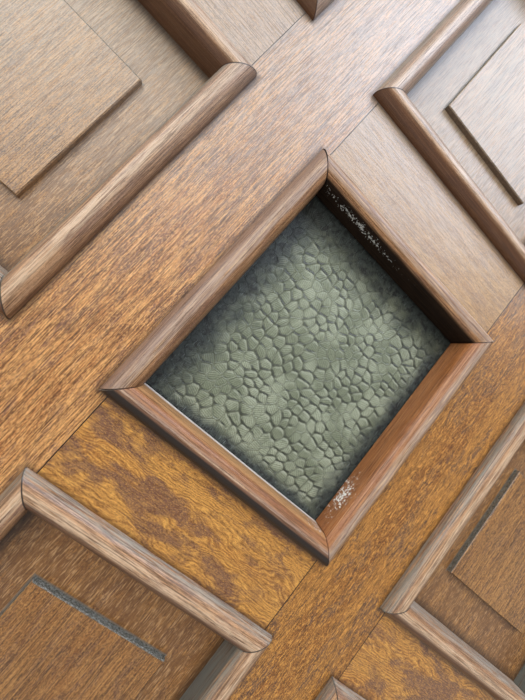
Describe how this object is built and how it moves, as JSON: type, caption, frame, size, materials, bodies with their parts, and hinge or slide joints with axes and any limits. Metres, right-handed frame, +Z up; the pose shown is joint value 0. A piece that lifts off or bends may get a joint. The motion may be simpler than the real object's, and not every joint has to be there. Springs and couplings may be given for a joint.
{
  "type": "panelled front door",
  "caption": "Framed oak front door with rows of raised panels, bolection mouldings, a small patterned window, lever handles, mortice lock and butt hinges.",
  "frame": {"origin": "middle of the threshold's underside", "axes": "+X from the hinges to the lock, +Y from the street side to the hall side, +Z up"},
  "size_m": [1.086, 0.172, 2.1075],
  "materials": {
    "oak_leaf": "quarter and plain sawn oak, stained honey brown and oiled, weathered paler on the faces",
    "oak_panel": "oak with upright grain, stained and oiled, dust on its upper edges",
    "oak_moulding": "run oak moulding, stained, worn pale on its crest",
    "oak_frame": "oak, stained and oiled",
    "patterned_glass": "rolled glass with a pebbled and ribbed pattern, grey-green",
    "seal_rubber": "matt black rubber",
    "packer_plastic": "moulded plastic packers",
    "aged_brass": "brushed brass, dulled by handling",
    "lock_steel": "zinc-plated and brushed steel"
  },
  "bodies": {
    "frame": {"hinge_jamb": "oak_frame", "lock_jamb": "oak_frame", "head_jamb": "oak_frame", "threshold": "oak_frame", "weather_seal": "seal_rubber", "strike_plate": "aged_brass", "strike_screws": "aged_brass", "hinge_pins": "aged_brass", "frame_hinge_screws": "aged_brass", "upper_hinge_frame_half": "aged_brass", "middle_hinge_frame_half": "aged_brass", "lower_hinge_frame_half": "aged_brass"},
    "leaf": {"bottom_rail": "oak_leaf", "cross_rails_1": "oak_leaf", "cross_rails_2": "oak_leaf", "cross_rails_3": "oak_leaf", "cross_rails_4": "oak_leaf", "cross_rails_5": "oak_leaf", "forend": "aged_brass", "forend_screws": "aged_brass", "glazing_beads_horizontal": "oak_moulding", "glazing_beads_vertical": "oak_moulding", "glazing_tapes": "seal_rubber", "hinge_stile": "oak_leaf", "inside_mouldings_horizontal": "oak_moulding", "inside_mouldings_vertical": "oak_moulding", "inside_plate": "aged_brass", "leaf_hinge_screws": "aged_brass", "lock_case": "lock_steel", "lock_case_cover": "lock_steel", "lock_cylinder": "aged_brass", "lock_stile": "oak_leaf", "lower_hinge_leaf_half": "aged_brass", "middle_hinge_leaf_half": "aged_brass", "muntin_1": "oak_leaf", "muntin_2": "oak_leaf", "outside_plate": "aged_brass", "panel_mouldings_horizontal": "oak_moulding", "panel_mouldings_vertical": "oak_moulding", "panels_1": "oak_panel", "panels_2": "oak_panel", "panels_3": "oak_panel", "panels_4": "oak_panel", "panels_5": "oak_panel", "panels_6": "oak_panel", "plate_bolts": "aged_brass", "setting_blocks": "packer_plastic", "top_rail": "oak_leaf", "upper_hinge_leaf_half": "aged_brass", "window_glass": "patterned_glass", "window_mouldings_horizontal": "oak_moulding", "window_mouldings_vertical": "oak_moulding"},
    "handle": {"outside_lever": "aged_brass", "inside_lever": "aged_brass", "spindle": "lock_steel", "follower": "lock_steel"},
    "latch": {"latch_bolt": "lock_steel"},
    "plug": {"cylinder_plug": "aged_brass", "thumb_turn": "aged_brass"},
    "bolt": {"dead_bolt": "lock_steel"}
  },
  "joints": [
    {"name": "leaf_swing", "type": "hinge", "parent": "frame", "child": "leaf", "pos_m": [-0.48325, 0.056, 1], "axis": [0, 0, 1], "range_deg": [0, 100]},
    {"name": "lever_turn", "type": "hinge", "parent": "leaf", "child": "handle", "pos_m": [0.4265, 0.021, 1.015], "axis": [0, -1, 0], "range_deg": [0, 40], "stiffness_Nm_per_rad": 1.6, "springref_deg": -20.05},
    {"name": "latch_slide", "type": "slide", "parent": "leaf", "child": "latch", "axis": [1, 0, 0], "range_m": [-0.012, 0]},
    {"name": "plug_turn", "type": "hinge", "parent": "leaf", "child": "plug", "pos_m": [0.4265, 0.021, 0.923], "axis": [0, -1, 0], "range_deg": [0, 360]},
    {"name": "bolt_slide", "type": "slide", "parent": "leaf", "child": "bolt", "axis": [1, 0, 0], "range_m": [0, 0.02]}
  ],
  "couplings": [
    {"joint": "latch_slide", "follows": "lever_turn", "m_per_rad": -0.017185},
    {"joint": "plug_turn", "follows": "bolt_slide", "rad_per_m": 314.16}
  ]
}
